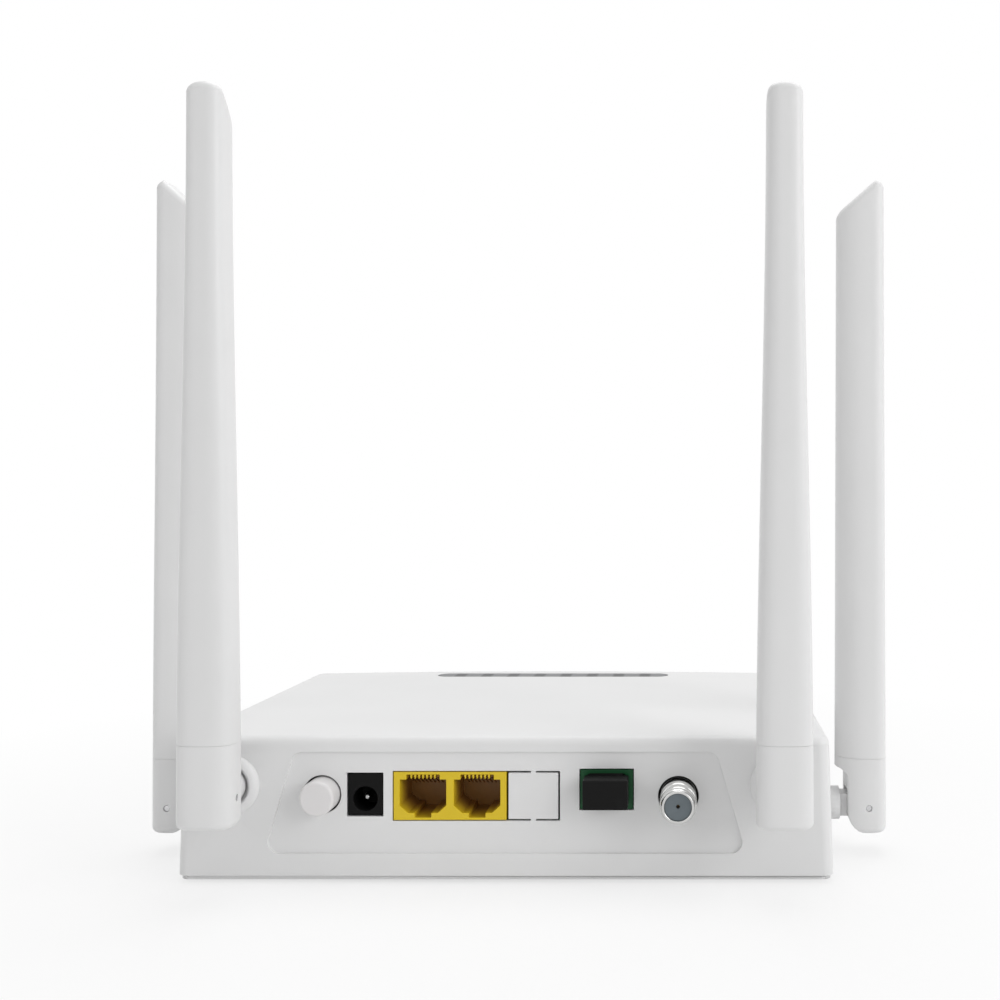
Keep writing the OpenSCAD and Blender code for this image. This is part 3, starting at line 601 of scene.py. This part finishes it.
def antenna_tree():
    """Shapes a unit bar, x and y in -1 to 1 and z in 0 to 1, into an antenna's eased waist.

    The bar stands at the height Low; its tip slopes towards the body and its rims are rounded.
    """
    names = ("Low", "High", "Length", "Foot Width", "Tip Width", "Foot Depth", "Tip Depth", "Slope",
             "Crown", "Rim", "Foot Rim", "Middle")
    group, t, start, end = geometry_tree(
        "antenna_form", [(n, "NodeSocketFloat") for n in names] + [("Finish", "NodeSocketMaterial")])
    low, high, length, foot_w, tip_w, foot_d, tip_d, slope, crown, rim, foot_rim, middle = (
        start.out(n) for n in names)
    x, y, z = t.add("GeometryNodeInputPosition").xyz()
    reach = t.add("GeometryNodeInputNamedAttribute", {"data_type": "FLOAT"}, "reach").out()
    near_rim = ((reach - (1 - RIM_SHARE)) / RIM_SHARE).clamp()
    rounded = 1 - (1 - near_rim * near_rim).clamp().maths("SQRT")
    behind = y - TIP_RIDGE
    sloping = behind.maths("MAXIMUM", 0) * slope + (-behind).maths("MAXIMUM", 0) * crown * OUTER_FALL
    top = high - sloping - x * x * crown - rounded * rim
    foot = low + rounded * foot_rim
    up = foot + (top - foot) * z
    ease = 1 + (up / length * math.pi).maths("COSINE")
    half_w = tip_w * 0.5 + (foot_w - tip_w) * 0.25 * ease
    half_d = (foot_d + (tip_d - foot_d) * up / length) * 0.5
    place = t.add("ShaderNodeCombineXYZ", {}, x * half_w, y * half_d + middle, up)
    moved = t.add("GeometryNodeSetPosition", {}, Geometry=start.out("Geometry"), Position=place.out())
    finish_tree(t, start, end, moved)
    return group


# ---------------------------------------------------------------- antennas
OUTER_SQUARENESS, INNER_SQUARENESS = 3.2, 2.3  # 2 is an ellipse
WIDEST = -0.3  # where across the depth an antenna is widest
RIM_SHARE = 0.25  # share of the half width that a rim's round takes up
FOOT_WIDTH, TIP_WIDTH = 14.1 * MM, 9 * MM
FOOT_DEPTH, TIP_DEPTH = 14.1 * MM, 13.2 * MM
MIDDLE = 1.65 * MM  # from the hinge pin to the middle of the depth
TIP_SLOPE, TIP_CROWN, TIP_RIM = 5.87 * MM, 1.4 * MM, 1.5 * MM
TIP_RIDGE = -0.636  # where across the depth the tip is highest
OUTER_FALL = 1.6  # how much more the tip falls outside its ridge than at its sides
INNERMOST = 0.4  # share of the half width that an end's flat middle takes up
KNUCKLE_RIM = 1.7 * MM
SEAM = 0.03 * MM


def section_point(angle):
    """A point of an antenna's section: squarish outside, an oval back towards the body."""
    c, s = math.cos(angle), math.sin(angle)
    power = 2 / (OUTER_SQUARENESS if s < 0 else INNER_SQUARENESS)
    x, y = math.copysign(abs(c) ** power, c), math.copysign(abs(s) ** power, s)
    return x, WIDEST + y * (1 + WIDEST if y < 0 else 1 - WIDEST)


def unit_bar(name, rings=60, around=64):
    """A closed bar, one high; each point keeps how far out it lies in its ring."""
    shape = bmesh.new()
    reach = shape.verts.layers.float.new("reach")
    outline = [section_point(2 * math.pi * (i + 0.5) / around) for i in range(around)]
    cap = [INNERMOST] + [1 - RIM_SHARE + RIM_SHARE * math.sin(math.radians(15 * i)) for i in range(6)]
    stations = [(r, 0.0) for r in cap] + [(1.0, i / rings) for i in range(rings + 1)]
    stations += [(r, 1.0) for r in reversed(cap)]
    loops = []
    for r, z in stations:
        loop = [shape.verts.new((x * r, y * r, z)) for x, y in outline]
        for vert in loop:
            vert[reach] = r
        loops.append(loop)
    for low, high in zip(loops, loops[1:]):
        for i in range(around):
            j = (i + 1) % around
            shape.faces.new((low[i], low[j], high[j], high[i]))
    shape.faces.new(list(reversed(loops[0])))
    shape.faces.new(loops[-1])
    bmesh.ops.recalc_face_normals(shape, faces=shape.faces)
    mesh = bpy.data.meshes.new(name)
    shape.to_mesh(mesh)
    shape.free()
    return mesh


def antenna_frame(name):
    """Places an antenna's own frame: its lower end at the origin, the wall towards +Y."""
    low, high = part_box(name + "_hinge_pin")
    place = (low + high) / 2
    place.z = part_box(name + "_knuckle")[0].z
    turn = {"side_left": -90, "side_right": 90}.get(name, 0)
    return Matrix.Translation(place) @ Matrix.Rotation(math.radians(turn), 4, "Z")


def antenna_bar(name, tree, finish, low, high, **shape):
    """A stretch of an antenna's form between two heights above its lower end."""
    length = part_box(name + "_radome")[1].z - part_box(name + "_knuckle")[0].z
    values = {"Low": low, "High": high, "Length": length, "Foot Width": FOOT_WIDTH, "Tip Width": TIP_WIDTH,
              "Foot Depth": FOOT_DEPTH, "Tip Depth": TIP_DEPTH, "Middle": MIDDLE, "Finish": finish,
              "Slope": 0.0, "Crown": 0.0, "Rim": 0.0, "Foot Rim": 0.0}
    values.update({label.replace("_", " "): value for label, value in shape.items()})
    piece = new_piece(name + "_form", unit_bar(name + "_form"), finish)
    set_inputs(piece, tree, values)
    piece.data.transform(antenna_frame(name))
    return piece


def make_radome(name, tree, finish):
    """The upper part of an antenna, from the seam to the sloping tip."""
    foot, knuckle_top = (corner.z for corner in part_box(name + "_knuckle"))
    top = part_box(name + "_radome")[1].z
    piece = antenna_bar(name, tree, finish, knuckle_top - foot + SEAM, top - foot,
                        Slope=TIP_SLOPE, Crown=TIP_CROWN, Rim=TIP_RIM)
    piece.name = name + "_antenna_tube"
    stand_for(smooth(piece, 50), name + "_radome")


def make_knuckle(name, tree, finish):
    """An antenna's foot: the same section as the tube, cut by the hinge's slot and scoop."""
    low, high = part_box(name + "_knuckle")
    form = antenna_bar(name, tree, finish, 0.0, high.z - low.z + 1 * MM, Foot_Rim=KNUCKLE_RIM)
    piece = new_piece(name + "_foot", welded(name + "_knuckle"), finish)
    cut = piece.modifiers.new("section", "BOOLEAN")
    cut.operation = "INTERSECT"
    cut.solver = "EXACT"
    cut.object = form
    baked(piece)
    bpy.data.objects.remove(form)
    stand_for(soften(piece, 0.05 * MM, 1, 40), name + "_knuckle")


def dome_profile(radius, height, steps):
    """A quarter ellipse in a lathe's profile, from its pole to its foot."""
    turn = [math.pi / 2 * i / steps for i in range(1, steps + 1)]
    return [(0, 0)] + [(radius * math.sin(a), height * (1 - math.cos(a))) for a in turn]


def make_hinge_pin(name, finish):
    """A pin with domed ends that lie just below the foot's sides."""
    low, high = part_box(name + "_hinge_pin")
    middle = (low + high) / 2
    across = max(high.x - low.x, high.y - low.y)
    radius = (high.z - low.z) / 2 - 0.01 * MM
    half = across / 2 - 0.15 * MM
    dome = dome_profile(radius, 0.2 * MM, 5)
    profile = [(r, h - half) for r, h in dome] + [(r, half - h) for r, h in reversed(dome)]
    pin = lathe(name + "_domed_pin", profile, finish, (0, 0, 0), steps=32)
    if name.startswith("rear"):
        pin.data.transform(Matrix.Rotation(math.pi / 2, 4, "Z"))
    pin.data.transform(Matrix.Translation(middle))
    stand_for(pin, name + "_hinge_pin")


# ---------------------------------------------------------------- rear panel
def make_button(finishes):
    """The push cap with its broad fillet, and the dark seal behind the wall."""
    low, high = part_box("power_button")
    middle = (low + high) / 2
    outer = (high.x - low.x) / 2
    radius = outer - 1 * MM
    collar_t = 1.4 * MM
    collar = high.y - low.y - collar_t
    fillet = 0.85 * MM
    profile = [(0, 0)] + [(r, fillet - h) for r, h in arc(radius - fillet, 0, fillet, 90, 0, 8)]
    profile += [(radius, collar), (outer, collar), (outer, collar + collar_t), (0, collar + collar_t)]
    cap = lathe("push_cap", profile, finishes["white_button"], (middle.x, low.y, middle.z))
    stand_for(cap, "power_button")
    place = (middle.x, low.y + collar - 0.13 * MM, middle.z)
    seal = ring_profile(radius + 0.02 * MM, outer, 0.12 * MM)
    add_to(lathe("button_seal", seal, finishes["black_plastic"], place), "power_button")


def make_inlet_pin(finish):
    """A round-nosed pin."""
    low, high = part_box("inlet_pin")
    middle = (low + high) / 2
    radius = (high.x - low.x) / 2 - 0.05 * MM
    length = high.y - low.y - 1.2 * MM
    profile = dome_profile(radius, 1.3 * radius, 6) + [(radius, length), (0, length)]
    pin = lathe("inlet_pin_turned", profile, finish,
                (middle.x, low.y + 0.05 * MM, middle.z), steps=40)
    stand_for(pin, "inlet_pin")


BARREL_ROOT = 4.5 * MM  # radius at the foot of the thread
BARREL_BORE = 3.4 * MM
BARREL_LIP = 4.12 * MM
BARREL_STEPS = 96


def barrel_profile(flange, flange_start, depth):
    """From the floor of the bore round the lip and along the outside to the rear end."""
    lip_in, lip_out = 0.35 * MM, 0.3 * MM
    flange_end = flange_start + 2.6 * MM
    bore = [(0, depth - 2 * MM), (BARREL_BORE, depth - 2 * MM), (BARREL_BORE, lip_in)]
    inner = [(BARREL_BORE + lip_in - r, lip_in - h) for r, h in arc(0, 0, lip_in, 0, 90, 5)][1:]
    outer = [(BARREL_LIP - lip_out + r, lip_out - h) for r, h in arc(0, 0, lip_out, 90, 0, 5)]
    neck = [(BARREL_LIP, 0.9 * MM), (BARREL_ROOT - 0.3 * MM, 1.1 * MM), (BARREL_ROOT, 1.4 * MM)]
    rear = [(BARREL_ROOT, flange_start), (flange, flange_start), (flange, flange_end),
            (BARREL_ROOT, flange_end), (BARREL_ROOT, depth), (0, depth)]
    return bore + inner + outer + neck + rear


def make_catv(finishes, thread):
    """The threaded barrel, its dark washer, the insulator and the contact."""
    low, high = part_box("catv_barrel")
    middle = (low + high) / 2
    flange = (high.x - low.x) / 2
    flange_start = REAR_WALL_Y + WALL + 0.3 * MM - low.y
    profile = barrel_profile(flange, flange_start, high.y - low.y)
    front = (middle.x, low.y, middle.z)
    stand_for(lathe("threaded_barrel", profile, finishes["nickel"], front, BARREL_STEPS), "catv_barrel")
    make_thread(finishes["nickel"], thread, (middle.x, low.y + 1.7 * MM, middle.z))
    place = (middle.x, low.y + flange_start - 0.22 * MM, middle.z)
    washer = ring_profile(BARREL_ROOT + 0.05 * MM, flange, 0.2 * MM)
    add_to(lathe("barrel_washer", washer, finishes["black_plastic"], place), "catv_barrel")
    make_insulator(finishes["grey_plastic"], middle)
    make_contact(finishes["gold"], middle)


def make_thread(finish, thread, place):
    """The barrel's thread as a ridge that winds back from the lip."""
    ridge = new_piece("barrel_thread", bpy.data.meshes.new("barrel_thread"), finish)
    set_inputs(ridge, thread, {"Turns": 9.0, "Radius": BARREL_ROOT - 0.02 * MM, "Length": 7.2 * MM,
                               "Ridge": 0.26 * MM, "Finish": finish})
    ridge.data.transform(Matrix.Translation(place) @ Z_TO_Y)
    add_to(smooth(ridge, 40), "catv_barrel")


def make_insulator(finish, middle):
    """A disc that dips towards its hole."""
    low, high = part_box("catv_insulator")
    hole, rim, length = 0.5 * MM, 3.38 * MM, high.y - low.y
    profile = [(hole, 0.55 * MM), (1.1 * MM, 0.32 * MM), (2.9 * MM, 0.12 * MM), (3.25 * MM, 0.02 * MM),
               (rim, 0.1 * MM), (rim, length), (hole, length)]
    stand_for(lathe("insulator_disc", profile, finish, (middle.x, low.y, middle.z)), "catv_insulator")


def make_contact(finish, middle):
    """The spring contact, a tube that starts just inside the insulator's hole."""
    low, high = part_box("catv_contact")
    inner, outer, start, end = 0.3 * MM, 0.46 * MM, 2 * MM, high.y - low.y
    tube = [(inner, start), (outer, start), (outer, end), (inner, end)]
    stand_for(lathe("spring_contact", tube, finish, (middle.x, low.y, middle.z)), "catv_contact")


WIRE_COUNT = 8
WIRE_PITCH = 1.02 * MM
WIRE_RADIUS = 0.19 * MM
FIRST_WIRE = 0.23 * MM  # from an end of the contacts' box to the nearest wire


def wire_path():
    """Edges of one contact wire: along the comb, round a tight bend and back down."""
    low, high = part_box("lan_contacts")
    top, front = high.z - WIRE_RADIUS - 0.02 * MM, low.y + WIRE_RADIUS + 0.05 * MM
    bend = 0.35 * MM
    points = [(high.y - 0.3 * MM, top)]
    for angle in [math.radians(20 * i) for i in range(8)]:
        points.append((front + bend - bend * math.sin(angle), top - bend + bend * math.cos(angle)))
    points.append((front + 6.6 * MM, low.z + 0.35 * MM))
    mesh = bpy.data.meshes.new("wire_path")
    mesh.from_pydata([(0, y, z) for y, z in points], [(i, i + 1) for i in range(len(points) - 1)], [])
    return mesh


def make_wires(side, x, tree, finish):
    """The eight sprung wires of one network socket."""
    piece = new_piece(side + "_socket_wires", wire_path(), finish)
    set_inputs(piece, tree, {"Count": WIRE_COUNT, "Pitch": WIRE_PITCH, "Radius": WIRE_RADIUS,
                             "Finish": finish})
    piece.data.transform(Matrix.Translation((x, 0, 0)))
    return smooth(piece, 50)


def make_comb(side, x, tree, finish):
    """The ribs between the wires of one network socket."""
    ribs = new_piece(side + "_socket_comb", rib_mesh(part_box("lan_contacts")[1].z), finish)
    set_inputs(ribs, tree, {"Count": WIRE_COUNT - 1, "Pitch": WIRE_PITCH, "Finish": finish})
    ribs.data.transform(Matrix.Translation((x + WIRE_PITCH / 2, 0, 0)))
    add_to(smooth(ribs, 30), "lan_housing")


def make_lan(finishes, wires, row):
    """Wires and combs of both network sockets; the left wires stand for the plain contacts."""
    low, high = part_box("lan_contacts")
    left, right = low.x + FIRST_WIRE, high.x - FIRST_WIRE - (WIRE_COUNT - 1) * WIRE_PITCH
    stand_for(make_wires("left", left, wires, finishes["gold"]), "lan_contacts")
    make_comb("left", left, row, finishes["yellow_plastic"])
    add_to(make_wires("right", right, wires, finishes["gold"]), "lan_contacts")
    make_comb("right", right, row, finishes["yellow_plastic"])


def rib_mesh(roof):
    """One rib of the comb: a wedge that narrows downwards."""
    front, back = SOCKETS_FRONT + 0.15 * MM, SOCKETS_FRONT + 5 * MM
    wide, thin, tall = 0.24 * MM, 0.1 * MM, 1.2 * MM
    corners = []
    for y, foot in ((front, roof - tall + 0.2 * MM), (back, roof - tall)):
        corners += [(-thin, y, foot), (thin, y, foot), (wide, y, roof), (-wide, y, roof)]
    mesh = bpy.data.meshes.new("comb_rib")
    faces = [(0, 1, 2, 3), (7, 6, 5, 4), (0, 4, 5, 1), (1, 5, 6, 2), (2, 6, 7, 3), (3, 7, 4, 0)]
    mesh.from_pydata(corners, [], faces)
    return mesh


# ---------------------------------------------------------------- the whole object
def outer_finishes():
    """What shows from outside, by material slot."""
    # painted shade inside the network sockets: over 9 mm from the mouth the yellow turns dark brown
    socket_shade = (SOCKETS_FRONT + 0.3 * MM, 9 * MM, (0.3, 0.14, 0.025))
    return {
        "white_casing": moulded("white_casing", (0.78, 0.78, 0.78)),
        "white_base": moulded("white_base", (0.72, 0.72, 0.72)),
        "white_button": moulded("white_button", (0.75, 0.735, 0.735), 0.38),
        "white_antenna": moulded("white_antenna", (0.77, 0.77, 0.77)),
        "feet_rubber": rubber("feet_rubber", (0.06, 0.06, 0.06)),
        "screw_steel": plated("screw_steel", (0.62, 0.62, 0.63)),
        "black_plastic": moulded("black_plastic", (0.004, 0.004, 0.004), 0.5, specular=0.12),
        "nickel": plated("nickel", (0.62, 0.62, 0.61), 0.2, 0.000004),
        "yellow_plastic": moulded("yellow_plastic", (0.72, 0.52, 0.015), 0.4, painted_shade=socket_shade),
        # the gold is darker than real gold: painted shade for the wires in the sockets' shadow, also used
        # for the TV socket's contact
        "gold": plated("gold", (0.5, 0.32, 0.12), 0.25),
        "green_plastic": moulded("green_plastic", (0.004, 0.06, 0.018), 0.35, specular=0.25),
        "cap_rubber": rubber("cap_rubber", (0.004, 0.004, 0.004)),
        "grey_plastic": moulded("grey_plastic", (0.13, 0.155, 0.17), 0.45),
        "smoked_plastic": smoked_bar("smoked_plastic"),
    }


def inner_finishes():
    """What the casing hides, by material slot."""
    return {
        "switch_white": moulded("switch_white", (0.8, 0.8, 0.78)),
        "board_green": circuit_board("board_green"),
        "ceramic_white": moulded("ceramic_white", (0.8, 0.8, 0.78), 0.2),
        "tinned_steel": brushed("tinned_steel", (0.72, 0.72, 0.7)),
        "light_white": moulded("light_white", (0.8, 0.8, 0.62), 0.25),
        "ribbon": moulded("ribbon", (0.78, 0.78, 0.72), 0.45),
        "chip_black": moulded("chip_black", (0.02, 0.02, 0.021), 0.5),
        "heat_sink_aluminium": brushed("heat_sink_aluminium", (0.75, 0.76, 0.77)),
        "capacitor_sleeve": moulded("capacitor_sleeve", (0.02, 0.03, 0.09), 0.28),
        "ferrite_grey": moulded("ferrite_grey", (0.1, 0.1, 0.105), 0.6),
        "lead_black": rubber("lead_black", (0.015, 0.015, 0.015)),
    }


def paint_nodes(finishes):
    """Gives every CAD node the finish of its slot."""
    for item in frame["record"]["subparts"]:
        node = frame["nodes"][item["node"]]
        node.data.materials.clear()
        node.data.materials.append(finishes[item["material_slot"]])


def refine_casing(finishes):
    """The casing and what sits in it, with the small rounds that moulded and pressed parts have."""
    make_cover(finishes["white_casing"])
    make_base(finishes["white_base"])
    finished_node("inlet_housing", finishes["black_plastic"], 0.2 * MM)
    finished_node("lan_housing", finishes["yellow_plastic"], 0.14 * MM)
    finished_node("optical_adapter", finishes["green_plastic"], 0.18 * MM)
    finished_node("dust_cap", finishes["cap_rubber"], 0.45 * MM, 3)
    finished_node("light_bar", finishes["smoked_plastic"], 0.12 * MM)
    finished_node("rubber_feet", finishes["feet_rubber"], 0.2 * MM)
    finished_node("case_screws", finishes["screw_steel"], 0.12 * MM)


def make_antennas(finishes):
    """The four antennas, each with its tube, foot, hinge pin and swivel."""
    tree = antenna_tree()
    white = finishes["white_antenna"]
    for name in ANTENNAS:
        make_radome(name, tree, white)
        make_knuckle(name, tree, white)
        make_hinge_pin(name, finishes["screw_steel"])
        finished_node(name + "_swivel", white, 0.1 * MM, joined=False)


def main():
    """Light and floor first, then the finishes, then the refined pieces."""
    make_camera()
    make_studio()
    finishes = {**outer_finishes(), **inner_finishes()}
    paint_nodes(finishes)
    refine_casing(finishes)
    make_button(finishes)
    # the inlet pin's metal is darker than the nickel: painted shade for a pin deep in the black inlet
    make_inlet_pin(plated("inlet_pin", (0.4, 0.4, 0.4), 0.22))
    make_catv(finishes, thread_tree())
    make_lan(finishes, wire_tree(), row_tree())
    make_antennas(finishes)


main()
